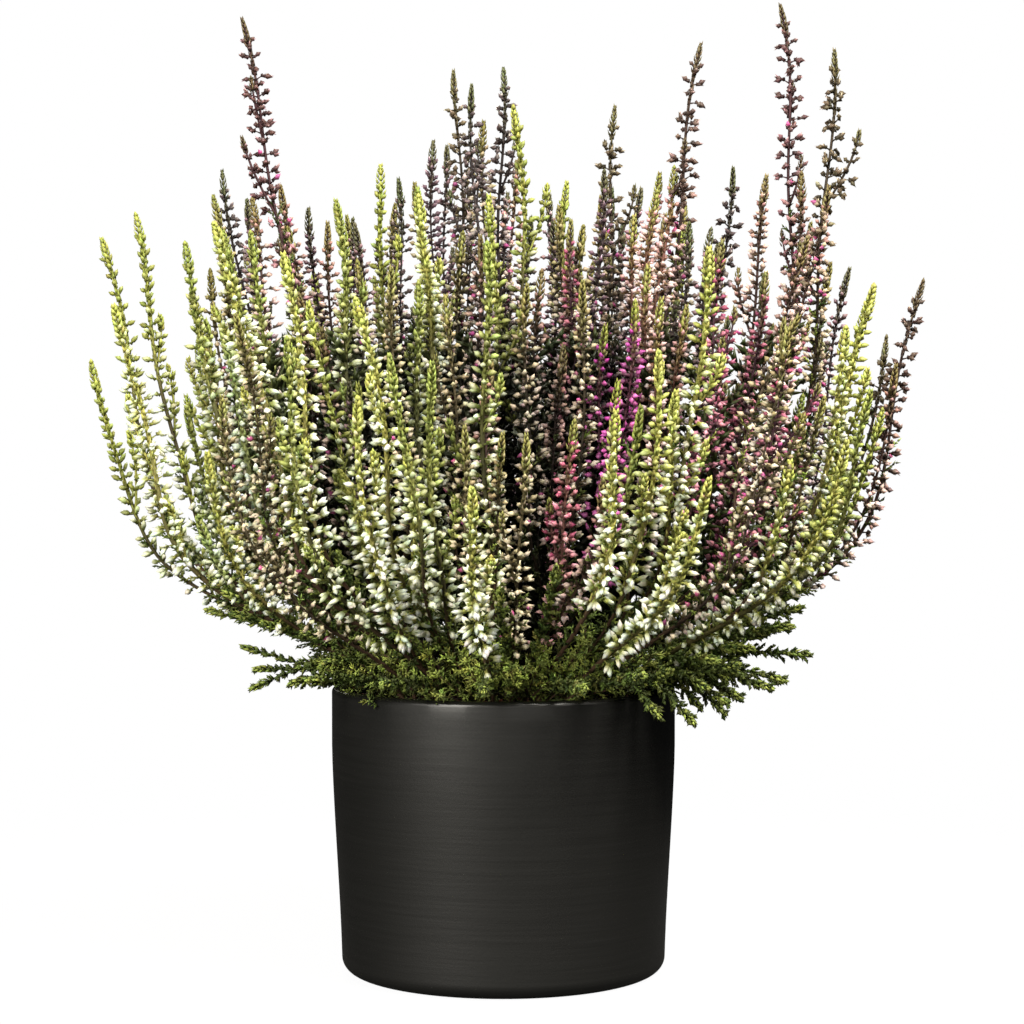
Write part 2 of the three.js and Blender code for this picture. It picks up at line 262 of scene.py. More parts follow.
# For each tone: its name and form, from where to where below the tip its buds turn pale, and the colours
# of the leafy tip, the high buds, the low buds, their calyx, and the stem near the tip and lower down.
TONE_ROWS = """
lime slim 38 105 a0a650 8f9650 dfe3cb 747b34 8c8e46 463f28
green pale 25 85 8a9548 9aa25a dee3ca 757c3c 7c7f40 413f26
gold rich 38 75 a8aa5a b5bc6b e7edd9 9a9e4a a29d50 5e5834
cream rich 10 45 aaae58 c6cd95 e3e9d9 a0a454 a8a456 625d36
frost rich 10 45 8a9650 a4ae84 d2dacb 78875a 80844e 50543a
umber dark 12 58 828044 968a68 e8dcbc 5b5236 584e36 342c22
dark dark 40 100 4c5230 5a4a48 dccac6 403a34 312a29 2a2221
sable loose 36 95 565a38 56494a d8c6c0 403836 362e2e 2a2223
plum dark 36 95 56553a 6c5460 e4c8ce 48383e 382d2e 2e2425
mauve dark 14 62 5e5d40 90707a ecd4d8 524246 3a2f30 2e2425
russet loose 42 112 5c5136 5c4a42 ccaaa4 463630 44342e 3a2a28
wine loose 50 115 5a5036 583f3d c4929a 462f2f 462c30 3a2428
bronze loose 45 115 625e38 5e5240 ccb89c 463e2e 443a2e 342a24
olive fluffy 12 62 7e7840 9e9068 ecdfca 605638 4c4232 382e26
brown fluffy 12 62 766a40 a67c74 f2dad0 5a483a 4e3a36 3a2a28
magenta fluffy 5 50 8a8e3e b4389a e67cc4 7c4a62 6b3d4c 4d3038
pink fluffy 8 50 8c8c48 cc9a9e f8e0dc 85664a 7a5449 54382f
coral fluffy 18 75 8c8c48 b24a72 f6c2c0 7c5250 704a44 4d3430
maroon dark 20 85 74703f 9a4a66 e49cae 603c44 482e38 372428
"""

# A flower spike, from its tip down: its leafy tip, the length and the share of it that flowers, the twigs
# between its lowest buds, and side spikes whose tips stay above a height.
LEAFY_TIP = 13
TIP_LEAF_STEP = 1.15
FLOWER_LENGTH = (115, 160)
FLOWER_SHARE = 0.71
MIXED_TWIGS = 45
LOWEST_TIP = SOIL_TOP + 60

# Some buds of the forms with petal points are bright, more of them lower down.
BRIGHT_SHARE = 0.1
BRIGHT_FROM = (30, 90)

# Twigs coloured dark as painted shade fill the middle and the back of the bush: within this radius and
# behind this y of the disc, between these heights.
DEEP_RADIUS = 0.66
DEEP_FRONT = -0.3
DEEP_TWIGS = (135, 20)

# Painted shade: colours are darker deep under the dome and near the disc's middle, as if in the bush's
# shade: how much those of the buds and of the rest, between which depths and disc radii, and how far back
# the middle is taken.
SHADED_BUDS = 0.55
SHADED_REST = 0.88
SHADED_DEPTH = (30, 86)
SHADED_RADIUS = (0.4, 0.85)
SHADED_BACK = 0.12

# The ends of the longest low sprigs that lie out over the rim: x, y and height above the soil. Those that
# end far to the left are slender.
LOW_SPRIGS = [
    (124, -20, 19), (112, -40, 10), (74, -66, -4), (60, -74, -1), (88, -58, 3), (114, -32, 32),
    (98, -48, 24), (84, -62, 20), (-80, -40, 30), (-72, -50, 17), (-116, -10, 40), (-108, -32, 37),
    (100, -40, 9), (92, -52, 15), (106, -20, 27), (80, -60, 9), (94, -30, 2), (78, -50, 0),
    (88, -42, -3), (68, -46, 3), (108, 6, 36), (-118, -22, 50), (-110, -46, 46), (-119, -28, 38),
    (-95, -44, 34), (-101, -30, 6), (94, -50, 4), (106, -48, 8), (120, -28, 39), (115, -38, 32),
    (122, -12, 45), (112, -20, 40), (92, -58, 26), (88, -50, 12),
]
SLENDER_BEYOND = -84

# Short leafy shoots at the foot of each stem. Those at the front left get painted light: lighter and greener
# colours.
BASAL_SHOOTS = 7.2
BASAL_RADIUS = 59
FRONT_LEFT = (-0.35, -0.9)
FRONT_LEFT_PAINTED_LIGHT = 16
FRONT_LEFT_PAINTED_BRIGHTENING = 0.8
GOLDEN_ANGLE = math.radians(137.5)

# Lower shoots in the gaps of the disc, which have no solid of their own either: how far below the dome
# they end, how much they lean, and how high on a stem they start.
FILL_COUNT = 21
FILL_SEED = 21
FILL_RADIUS = 0.9
FILL_BELOW_DOME = (-12, 28)
FILL_LEAN = 8
FILL_FROM = (22, 45)

# The nearest spray bears a lower shoot. A cream one behind the front, or one of another kind than a listed
# spike, counts as this many times as far away.
FRONT = -0.35
CREAM_BEHIND = 2.0
OTHER_KIND = 3

# The litter on the soil.
LITTER_SEED = 5
CRUMB_COUNT = 420
CRUMB_RADIUS = 61.5
NEEDLE_COUNT = 350
NEEDLE_RADIUS = 60

# Each spray has its own random numbers.
SPRAY_SEED = 1000

# The photograph's camera: its focal length, horizon row and width in pixels, and its place in millimetres.
FOCAL_PX = 2598
HORIZON_PX = 443
IMAGE_PX = 1024
CAMERA_AT = (3.5, -1060, 215)

# The studio, in metres: the floor, the light that comes from all round, and soft boxes, each with its
# place, its width and height and its power in watts.
FLOOR_RADIUS = 0.5
FLOOR_CLEAR = (0.12, 0.5)
AMBIENT = 0.015
WARM = (1.0, 0.96, 0.87)
LIT_POINT = (0, 0, 0.24)
LIGHTS = {
    "key": ((-0.82, -1.13, 0.62), (0.65, 1.1), 34.5),
    "front": ((0.4, -1.35, 0.4), (0.8, 0.8), 2.5),
    "fill": ((0.85, -0.9, 1.15), (0.9, 0.9), 9.5),
    "top": ((0.55, -0.5, 1.2), (0.45, 0.45), 32),
    "back": ((-0.3, 1.0, 0.9), (0.8, 0.8), 15),
}


def hex_colour(digits):
    """A linear colour from its six hexadecimal digits."""
    channels = np.array([int(digits[i : i + 2], 16) for i in (0, 2, 4)]) / 255
    return np.where(channels <= 0.04045, channels / 12.92, ((channels + 0.055) / 1.055) ** 2.4)


def rows_of(table):
    return [row.split() for row in table.strip().splitlines()]


def read_tone(form, start, end, *colours):
    parts = zip(["tip", "high", "low", "calyx", "stem", "foot"], map(hex_colour, colours))
    return SimpleNamespace(form=FORMS[form], turn=(float(start), float(end)), **dict(parts))


TONES = {name: read_tone(*row) for name, *row in rows_of(TONE_ROWS)}
BRIGHT_BUD = hex_colour("b4528a")
LEAF = hex_colour("4c5e2a")
YOUNG_LEAF = hex_colour("96a34e")
# The dark leaf colour that twigs take as painted shade.
SHADED_LEAF = hex_colour("3a4420")
WOOD = hex_colour("4e3a2c")
SPRIG_TONE = SimpleNamespace(tip=YOUNG_LEAF, calyx=LEAF, stem=LEAF, foot=WOOD)
PEAT, RED_PEAT, DRY_NEEDLE = hex_colour("2a1a12"), hex_colour("6e3a28"), hex_colour("7d4a33")


class Numbers:
    """The repeatable numbers from 0 to 1 that the solids were placed with."""

    MASK = 0xFFFFFFFF

    def __init__(self, seed):
        self.state = seed

    def draw(self):
        self.state = (self.state + 0x6D2B79F5) & self.MASK
        t = ((self.state ^ (self.state >> 15)) * (1 | self.state)) & self.MASK
        t ^= (t + (t ^ (t >> 7)) * (61 | t)) & self.MASK
        return (t ^ (t >> 14)) / 2**32

    def between(self, low, high):
        return low + (high - low) * self.draw()


numbers = Numbers(SEED)


def between(low, high, share):
    return low + (high - low) * share


def mixed(a, b, share):
    """A colour between two, or one for each of many shares."""
    return between(a, b, np.asarray(share)[..., None])


def smooth(low, high, value):
    """From 0 at low to 1 at high, with eased ends."""
    t = np.clip((np.asarray(value, float) - low) / (high - low), 0, 1)
    return t * t * (3 - 2 * t)


def unit(vectors):
    return vectors / np.maximum(np.linalg.norm(vectors, axis=-1, keepdims=True), TINY)


def crown_radius(height):
    """The radius of the bush's disc at a height above the soil."""
    above = np.maximum(height, 0)
    return CROWN_AT_SOIL + CROWN_SPREAD * (1 - np.exp(-((above / SPREAD_HEIGHT) ** 2))) + CROWN_FLARE * above


def place(at, height):
    """A point of the bush from a place on the disc and a height above the soil."""
    radius = crown_radius(height)
    return np.array([at[0] * radius, at[1] * radius, SOIL_TOP + height])


def disc_place(point):
    return np.array(point[:2]) / crown_radius(point[2] - SOIL_TOP)


def dome_height(at):
    """The height of the bush's dome over places on the disc. It is lower towards the edge and the front."""
    front = np.minimum(at[..., 1], 0)
    return DOME_TOP - DOME_TO_EDGE * np.sum(at**2, axis=-1) - DOME_TO_FRONT * front**2


def new_shoot(at, height, kind, tone, lean=0, share=FLOWER_SHARE):
    return SimpleNamespace(at=at, height=height, kind=kind, tone=tone, lean=lean, share=share)


def listed_shoots(table):
    """The shoots of a list, each with the place on the disc that it would have without its lean."""
    shoots = []
    for x, y, height, kind, tone, *more in rows_of(table):
        shoot = new_shoot(None, float(height), kind, tone, *map(float, more))
        shoot.at = np.array([float(x) - shoot.lean, float(y)]) / crown_radius(shoot.height)
        shoots.append(shoot)
    return shoots


def grow_shoots():
    """All shoots that the solids have, in the same order and from the same draws."""
    shoots = listed_shoots(LEADING_SPIKES)
    while len(shoots) < SHOOT_COUNT:
        best, widest = None, 0
        taken = np.array([shoot.at for shoot in shoots])
        for _ in range(PLACE_TRIES):
            angle = numbers.between(0, 2 * math.pi)
            radius = math.sqrt(numbers.draw())
            at = np.array([radius * math.cos(angle), radius * math.sin(angle)])
            gap = np.linalg.norm(taken - at, axis=1).min()
            if gap > widest:
                best, widest = at, gap
        kind = min(PLANTED, key=lambda row: np.linalg.norm(np.array(row[1]) - best))[0]
        height = dome_height(best) + numbers.between(-DOME_UNEVEN, DOME_UNEVEN)
        tones = FILL_TONES[kind]
        shoots.append(new_shoot(best, height, kind, tones[len(shoots) % len(tones)]))
    return shoots


def nearest(roots, at, weight):
    return min(roots, key=lambda root: np.linalg.norm(root.at - at) * weight(root))


def add_inner(roots, shoots):
    """Gives the sprays the inner spikes, then lower shoots in the widest gaps of the disc."""
    rng = np.random.default_rng(FILL_SEED)
    taken = [shoot.at for shoot in shoots]
    for shoot in listed_shoots(INNER_SPIKES):
        root = nearest(roots, shoot.at, lambda root: 1 if root.kind == shoot.kind else OTHER_KIND)
        root.inner.append(shoot)
        taken.append(shoot.at)
    for i in range(FILL_COUNT):
        angle = rng.uniform(0, 2 * math.pi, PLACE_TRIES)
        radius = FILL_RADIUS * np.sqrt(rng.random(PLACE_TRIES))
        tries = np.stack([radius * np.cos(angle), radius * np.sin(angle)], -1)
        gaps = np.linalg.norm(tries[:, None] - np.array(taken)[None], axis=2).min(axis=1)
        at = tries[np.argmax(gaps)]
        taken.append(at)
        cream = CREAM_BEHIND if at[1] > FRONT else 1
        root = nearest(roots, at, lambda root: cream if root.kind == "cream" else 1)
        tone = FILL_TONES[root.kind][0 if i % 2 else 2]
        height = dome_height(at) - rng.uniform(*FILL_BELOW_DOME)
        root.inner.append(new_shoot(at, height, root.kind, tone, rng.normal(0, FILL_LEAN)))


def gap_to_root(shoot, root):
    return np.linalg.norm(root.at - shoot.at) if root.kind == shoot.kind else math.inf


def stands_outside(other, root):
    """Whether another root stands further out on nearly the same line from the middle."""
    outward = unit(root)
    aside = other[0] * outward[1] - other[1] * outward[0]
    return other @ outward > np.linalg.norm(root) + 1e-3 and abs(aside) < SAME_LINE


def group_shoots(shoots):
    """Shoots of one kind that stand close together share one stem, rooted in the middle of them."""
    roots = [SimpleNamespace(at=shoots[0].at, kind=shoots[0].kind)]
    while len(roots) < SPRAY_COUNT:
        gaps = [min(gap_to_root(shoot, root) for root in roots) for shoot in shoots]
        farthest = shoots[int(np.argmax(gaps))]
        roots.append(SimpleNamespace(at=farthest.at, kind=farthest.kind))
    for _ in range(GROUPING_ROUNDS):
        for root in roots:
            root.shoots = []
        for shoot in shoots:
            min(roots, key=lambda root: gap_to_root(shoot, root)).shoots.append(shoot)
        for root in roots:
            root.at = np.mean([shoot.at for shoot in root.shoots], axis=0)
    for root in roots:
        root.shoots.sort(key=lambda shoot: -shoot.height)
        root.inner = []
        root.low_sprigs = []
        root.outermost = not any(stands_outside(other.at, root.at) for other in roots)
    return roots


def shoot_way(start_at, start, shoot, step=3.0):
    """The points of a shoot from a place and height. It reaches its own place on the disc SETTLE higher."""
    points = []
    for height in np.linspace(start, shoot.height, max(3, math.ceil((shoot.height - start) / step))):
        settled = math.sin(math.pi / 2 * min(1, (height - start) / SETTLE))
        point = place(between(start_at, shoot.at, settled), height)
        if shoot.lean and height > LEAN_FROM:
            point[0] += shoot.lean * ((height - LEAN_FROM) / (shoot.height - LEAN_FROM)) ** 2
        turn = height / SWAY_HEIGHT + SWAY_APART[0] * shoot.at[0]
        direction = np.array([math.sin(turn), math.cos(turn + SWAY_APART[1] * shoot.at[1])])
        point[:2] += SWAY * smooth(*SWAY_GROWS, height) * direction
        points.append(point)
    return points


def branch_way(foot, shoot):
    """The points of a shoot that grows from a point of a stem."""
    return shoot_way(disc_place(foot), foot[2] - SOIL_TOP, shoot)


def around_stem(side, face, angle):
    return side * np.cos(angle)[:, None] + face * np.sin(angle)[:, None]


class Way:
    """A line from foot to tip, read by the distance back from the tip."""

    def __init__(self, points):
        self.points = np.array(points)[::-1]
        steps = np.linalg.norm(np.diff(self.points, axis=0), axis=1)
        self.back = np.concatenate([[0], np.cumsum(steps)])
        self.length = self.back[-1]
        tip = self.points[0]
        around = np.array([-tip[1], tip[0], 0.0])
        self.reference = unit(around) if np.linalg.norm(around) > 1 else np.array([1.0, 0, 0])

    def at(self, back):
        return np.stack([np.interp(back, self.back, self.points[:, i]) for i in range(3)], -1)

    def frames(self, back):
        """Points, directions towards the tip, and two directions across, for distances from the tip."""
        back = np.asarray(back, float)
        ahead = unit(self.at(back - 2) - self.at(back + 2))
        side = unit(self.reference - ahead * (ahead @ self.reference)[:, None])
        return self.at(back), ahead, side, np.cross(side, ahead)

    def around(self, back, angle):
        """Points, directions towards the tip, and directions away from the stem at the given angles."""
        at, ahead, side, face = self.frames(back)
        return at, ahead, around_stem(side, face, angle)

    def above(self, height):
        """The point of the way at a height above the soil, on its way up."""
        upwards = self.points[::-1]
        first = int(np.argmax(upwards[:, 2] - SOIL_TOP >= height))
        below, over = upwards[max(first - 1, 0)], upwards[first]
        rise = over[2] - below[2]
        share = (height + SOIL_TOP - below[2]) / rise if rise > TINY else 0
        return between(below, over, min(max(share, 0), 1))


def band(low, high, sides):
    """The triangles between two rings of corners, from the numbers of their first corners."""
    following = [(i + 1) % sides for i in range(sides)]
    faces = [(low + i, low + j, high + j) for i, j in enumerate(following)]
    return faces + [(low + i, high + j, high + i) for i, j in enumerate(following)]


def spindle(sides, rings, flat=1.0, ribs=0.0):
    """A closed body round +Z from its rings of (place, radius). The first and the last ring are points."""
    angles = 2 * math.pi * np.arange(sides) / sides
    ribbed = 1 + ribs * (-1.0) ** np.arange(sides)
    corners = [(0, 0, rings[0][0])]
    for z, radius in rings[1:-1]:
        across = zip(radius * ribbed * np.cos(angles), radius * ribbed * np.sin(angles) * flat)
        corners += [(x, y, z) for x, y in across]
    corners.append((0, 0, rings[-1][0]))
    last = len(corners) - 1
    faces = []
    for i in range(sides):
        j = (i + 1) % sides
        faces += [(0, 1 + j, 1 + i), (last - sides + i, last - sides + j, last)]
    for low in range(1, last - sides, sides):
        faces += band(low, low + sides, sides)
    return {"corners": np.array(corners, float), "faces": np.array(faces)}


# Bodies of length 1 and of about radius 1, which are stretched to their sizes.
BUD = spindle(4, [(0, 0), (0.26, 0.94), (0.64, 0.86), (1, 0)])
SMALL_BUD = spindle(4, [(0, 0), (0.5, 1.1), (1, 0)])
SCALE_LEAF = spindle(4, [(0, 0), (0.35, 1.0), (1, 0)], flat=0.55)
CRUMB = spindle(5, [(0, 0), (0.3, 0.9), (0.75, 0.7), (1, 0)], ribs=0.15)
NEEDLE = {
    "corners": np.array([(1, 0, 0), (-0.5, 0.87, 0), (-0.5, -0.87, 0), (0, 0, 1)], float),
    "faces": np.array([(0, 2, 1), (0, 1, 3), (1, 2, 3), (2, 0, 3)]),
}

# The material slots of the sprays.
BUDS, LEAVES, BARK = 0, 1, 2


def shaded(points):
    """How much painted shade a point gets: from 0 at the outside of the bush to 1 deep inside it."""
    height = points[:, 2] - SOIL_TOP
    at = points[:, :2] / crown_radius(height)[:, None]
    radius = np.linalg.norm(at - (0, SHADED_BACK), axis=1)
    return smooth(*SHADED_DEPTH, dome_height(at) - height) * (1 - smooth(*SHADED_RADIUS, radius))


def add_object(name, data):
    made = bpy.data.objects.new(name, data)
    bpy.context.scene.collection.objects.link(made)
    return made


def mesh_object(name, corners, faces, materials):
    """A smooth mesh from corners in millimetres and triangles, as a piece that rides on the one body."""
    mesh = bpy.data.meshes.new(name)
    mesh.from_pydata(corners * MM, [], faces, shade_flat=False)
    for material in materials:
        mesh.materials.append(material)
    made = add_object(name, mesh)
    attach(made, "root")
    return made


class Piece:
    """Gathers many small closed bodies, and makes them one mesh."""

    def __init__(self, name):
        self.name = name
        self.parts = []
        self.count = 0

    def _take(self, corners, faces, colours, slot):
        corners, faces, colours = (rows.reshape(-1, 3) for rows in (corners, faces, colours))
        # How strongly painted shade darkens these corners deep inside the bush: less for buds than for the
        # rest.
        shade = np.full(len(corners), SHADED_BUDS if slot == BUDS else SHADED_REST)
        self.parts.append((corners, faces + self.count, colours, np.full(len(faces), slot), shade))
        self.count += len(corners)

    def add(self, body, at, axis, side, length, width, foot, tip, slot=LEAVES, turn=(0, 0.8)):
        """Copies of a body, one for each row. The colour turns from foot to tip within the given stretch."""
        n = len(at)
        if n == 0:
            return
        axis = unit(axis)
        side = unit(side - axis * np.sum(side * axis, axis=1, keepdims=True))
        face = np.cross(axis, side)
        x, y, z = body["corners"].T[:, :, None]
        width = np.broadcast_to(width, n)[:, None, None]
        length = np.broadcast_to(length, n)[:, None, None]
        corners = at[:, None] + side[:, None] * x * width + face[:, None] * y * width
        corners = corners + axis[:, None] * z * length
        foot, tip = (np.broadcast_to(colour, (n, 3))[:, None] for colour in (foot, tip))
        colours = between(foot, tip, np.clip((z - turn[0]) / (turn[1] - turn[0]), 0, 1))
        faces = body["faces"] + (np.arange(n) * len(x))[:, None, None]
        self._take(corners, faces, colours, slot)

    def tube(self, way, back, radii, colours, sides):
        """A closed tube of bark along a way, with a ring at each of some distances from its tip."""
        at, _, side, face = way.frames(back)
        angles = (2 * math.pi * np.arange(sides) / sides)[:, None]
        ring = side[:, None] * np.cos(angles) + face[:, None] * np.sin(angles)
        corners = at[:, None] + ring * np.asarray(radii)[:, None, None]
        last = (len(at) - 1) * sides
        faces = []
        for low in range(0, last, sides):
            faces += band(low, low + sides, sides)
        for i in range(1, sides - 1):
            faces += [(0, i + 1, i), (last, last + i, last + i + 1)]
        colours = np.repeat(np.broadcast_to(colours, (len(at), 3)), sides, axis=0)
        self._take(corners, np.array(faces), colours, BARK)

    def build(self, materials):
        """The piece, with its colours in an attribute that its materials read."""
        corners, faces, colours, slots, shade = map(np.concatenate, zip(*self.parts))
        # Painted shade: the colours are darkened deep inside the bush, where shade falls.
        colours = colours * (1 - shade * shaded(corners))[:, None]
        made = mesh_object(self.name, corners, faces, materials)
        made.data.polygons.foreach_set("material_index", slots.astype(np.int32))
        tone = made.data.color_attributes.new("tone", "FLOAT_COLOR", "POINT")
        opaque = np.column_stack([colours, np.ones(len(colours))])
        tone.data.foreach_set("color", opaque.astype(np.float32).ravel())
        return made


def varied(rng, colours, spread, n):
    """Colours with a little more or less light in each row, and a slight shift of hue."""
    light = np.exp(rng.normal(0, spread, (n, 1)))
    shift = 1 + rng.normal(0, spread * 0.3, (n, 3))
    return np.broadcast_to(colours, (n, 3)) * light * shift


def leafy_tip(piece, way, rng, tone, length=LEAFY_TIP, width=1.0):
    """Scale leaves in four rows that lie close along the tip."""
    back = np.repeat(np.arange(0.6, length, TIP_LEAF_STEP), 2)
    n = len(back)
    angle = np.arange(n) // 2 * math.pi / 2 + np.tile([0, math.pi], n // 2) + rng.uniform(0, math.pi)
    at, ahead, out = way.around(back, angle)
    reach = 0.45 + 0.65 * smooth(0, length * 0.4, back)
    spread = rng.uniform(0.18, 0.38, n) * (0.4 + smooth(0, length, back))
    at = at + out * (reach * 0.55 * width)[:, None] - ahead * 1.2
    axis = ahead + out * spread[:, None]
    size = (2.1 + smooth(0, length * 0.5, back)) * rng.uniform(0.85, 1.25, n)
    colours = mixed(tone.tip * 1.1, tone.calyx, smooth(length * 0.5, length * 1.6, back))
    tip = varied(rng, colours, 0.14, n)
    across = np.cross(ahead, out)
    piece.add(SCALE_LEAF, at, axis, across, size, 0.62 * width, tip * 0.55, tip)


def crossing_pairs(rng, start, end, step):
    """Distances and angles of opposite pairs along a stem, each pair across the one before."""
    back = np.arange(start, end, step)
    back = back + rng.normal(0, step * 0.12, len(back))
    angle = np.repeat(np.arange(len(back)) * math.pi / 2, 2) + np.tile([0, math.pi], len(back))
    back = np.repeat(back, 2) + rng.normal(0, step * 0.08, 2 * len(back))
    return back, angle + rng.uniform(0, math.pi) + rng.normal(0, 0.2, len(back))


def bud_spike(piece, way, rng, tone, flowers, foot, from_tip=LEAFY_TIP * 0.8, plain=False):
    """Bud stalks in crossing pairs, short near the tip. Lower down two or three buds share a stalk."""
    form = tone.form
    end = min(flowers, way.length - foot)
    back, angle = crossing_pairs(rng, from_tip, end, form.step)
    kept = rng.random(len(back)) < 0.96 - 0.4 * smooth(0.7 * end, end, back)
    back, angle = back[kept], angle[kept]
    n = len(back)
    if n == 0:
        return
    at, ahead, out = way.around(back, angle)
    full = smooth(LEAFY_TIP * 0.6, form.full_from, back)
    clustered = smooth(*form.clusters, back)
    stalk = between(*form.stalk, full * rng.uniform(0.35, 1.1, n)) + 2.0 * clustered * rng.random(n)
    lift = unit(out + ahead * rng.uniform(0.2, 0.7, n)[:, None])
    holder = varied(rng, mixed(tone.calyx, tone.stem, 0.4), 0.12, n)
    piece.add(NEEDLE, at, lift, ahead, stalk + 1.8, 0.5, holder * 0.7, holder)
    more = (rng.random(n) < 0.85 * clustered).astype(int) + (rng.random(n) < 0.3 * clustered)
    stalks = np.repeat(np.arange(n), 1 + more)
    ends = at + lift * stalk[:, None]
    each = [values[stalks] for values in (back, ends, ahead, out, full, clustered)]
    buds(piece, rng, tone, *each, plain)


def buds(piece, rng, tone, back, ends, ahead, out, full, clustered, plain):
    """A bud on each stalk's end, larger lower down, with its calyx, dark bracts and pale petal points."""
    form = tone.form
    n = len(back)
    crowd = 0.14 + 0.45 * clustered
    rise = np.radians(between(*form.rise, full) + rng.normal(0, 11, n))
    axis = out * np.cos(rise)[:, None] + ahead * np.sin(rise)[:, None]
    axis = axis + rng.normal(0, 1, (n, 3)) * crowd[:, None] * form.spread
    along = unit(axis)
    start = ends - along * 0.3
    length = between(form.small[0], form.full[0], full) * rng.uniform(0.75, 1.2, n)
    width = between(form.small[1], form.full[1], full) * rng.uniform(0.88, 1.12, n)
    turned = smooth(*tone.turn, back + rng.normal(0, 9, n))
    bud = varied(rng, mixed(tone.high, tone.low, turned), 0.14, n)
    calyx = varied(rng, tone.calyx, 0.12, n)
    if form.points:
        bright = rng.random(n) < BRIGHT_SHARE * smooth(*BRIGHT_FROM, back)
        bud = np.where(bright[:, None], varied(rng, BRIGHT_BUD, 0.2, n), bud)
    body = SMALL_BUD if form.points else BUD
    piece.add(body, start, axis, ahead, length, width, calyx, bud, BUDS, (0.15, 0.6))
    for _ in range(1 + form.points - plain):
        leaf = varied(rng, tone.calyx, 0.2, n)
        splay = along + rng.normal(0, 0.22, (n, 3)) - ahead * 0.08
        below = start - along * 0.5
        piece.add(NEEDLE, below, splay, out, length * 0.8, 0.95, leaf * 0.6, leaf)
    for _ in range(form.points - plain):
        splay = along + rng.normal(0, 0.3, (n, 3))
        mouth = start + along * (length * 0.5)[:, None]
        pale = varied(rng, mixed(bud, tone.low * 1.25, 0.6), 0.2, n)
        piece.add(NEEDLE, mouth, splay, ahead, length * 0.6, 0.6, pale * 0.7, pale, BUDS, (0, 0.9))


def stem_leaves(piece, way, rng, tone):
    """Scale leaves that hug the stem between the buds, and are narrower lower down."""
    reach = tone.form.leafy_to
    back, angle = crossing_pairs(rng, LEAFY_TIP * 0.8, min(reach, way.length * 0.6), 2.0)
    at, ahead, out = way.around(back, angle)
    width = (0.62 - 0.22 * smooth(20, reach, back)) * tone.form.tip_width
    colours = mixed(mixed(tone.tip, tone.calyx, 0.5), tone.stem, smooth(15, reach, back))
    leaf = varied(rng, colours, 0.14, len(back))
    start = at + out * (width * 0.4)[:, None]
    piece.add(NEEDLE, start, ahead + out * 0.24, out, 3.0, width, leaf * 0.6, leaf, turn=(0, 0.6))


def stem(piece, way, rng, tone, radius, foot_radius, wood_from):
    """The stem of a spike: its tone above, and bare brown wood near its foot."""
    back = np.concatenate([[0.3], np.arange(3, way.length, 5.0), [way.length]])
    radii = np.interp(back, [0, LEAFY_TIP, 60, way.length], [0.25, 0.5, radius, foot_radius])
    colours = mixed(tone.stem, tone.foot, smooth(25, 85, back))
    colours = mixed(colours, WOOD, smooth(wood_from, wood_from + 50, back))
    piece.tube(way, back, radii, varied(rng, colours, 0.06, len(back)), 4)


def leafy_twigs(piece, way, rng, start, end, step, size, lit=1.0, broad=1.0, leaf=3.0, painted_brightening=1.0):
    """Plump twiglets with tiny leaves, all round a stem between two distances from its tip.

    Painted light and shade: their colours darken lower down as if light came only from above, lit times as
    much as usual. Where the painted light is plenty, most of them are young.
    """
    back = np.arange(start, end, step)
    n = len(back)
    if n == 0:
        return
    back = back + rng.uniform(-0.4, 0.4, n) * step
    angle = np.arange(n) * GOLDEN_ANGLE + rng.uniform(0, math.pi) + rng.normal(0, 0.3, n)
    at, ahead, out = way.around(back, angle)
    # Painted light and shade: darker colours near the soil, lighter ones higher up and the more so with lit.
    light = np.clip(smooth(2, 55, at[:, 2] - SOIL_TOP) * lit, 0, 1)
    youth_and_painted_light = rng.random(n) ** (2 if lit < 3 else 0.65) * (0.35 + 0.65 * light) * min(1, lit)
    colours = mixed(mixed(SHADED_LEAF, LEAF, light), YOUNG_LEAF * painted_brightening, youth_and_painted_light)
    tips = varied(rng, colours, 0.2, n)
    length = rng.uniform(*size, n) * (0.5 + 0.5 * smooth(0, 10, back))
    axis = out * rng.uniform(0.6, 1.1, n)[:, None] + ahead
    piece.add(NEEDLE, at, axis, ahead, length, 0.65 * broad, tips * 0.45, tips, turn=(0, 1))
    along = unit(axis)
    across = unit(np.cross(along, ahead))
    third = np.cross(along, across)
    turn = rng.uniform(0, 2 * math.pi, n)
    for i, reach in enumerate((0.1, 0.28, 0.46, 0.64, 0.82)):
        outward = around_stem(across, third, turn + i * GOLDEN_ANGLE)
        foot = at + along * (length * reach)[:, None]
        splay = along + outward * rng.uniform(0.5, 0.9, n)[:, None]
        reach = leaf * (1 - 0.43 * reach) * rng.uniform(0.8, 1.2, n)
        piece.add(NEEDLE, foot, splay, outward, reach, 0.6 * broad, tips * 0.5, tips * 1.12)


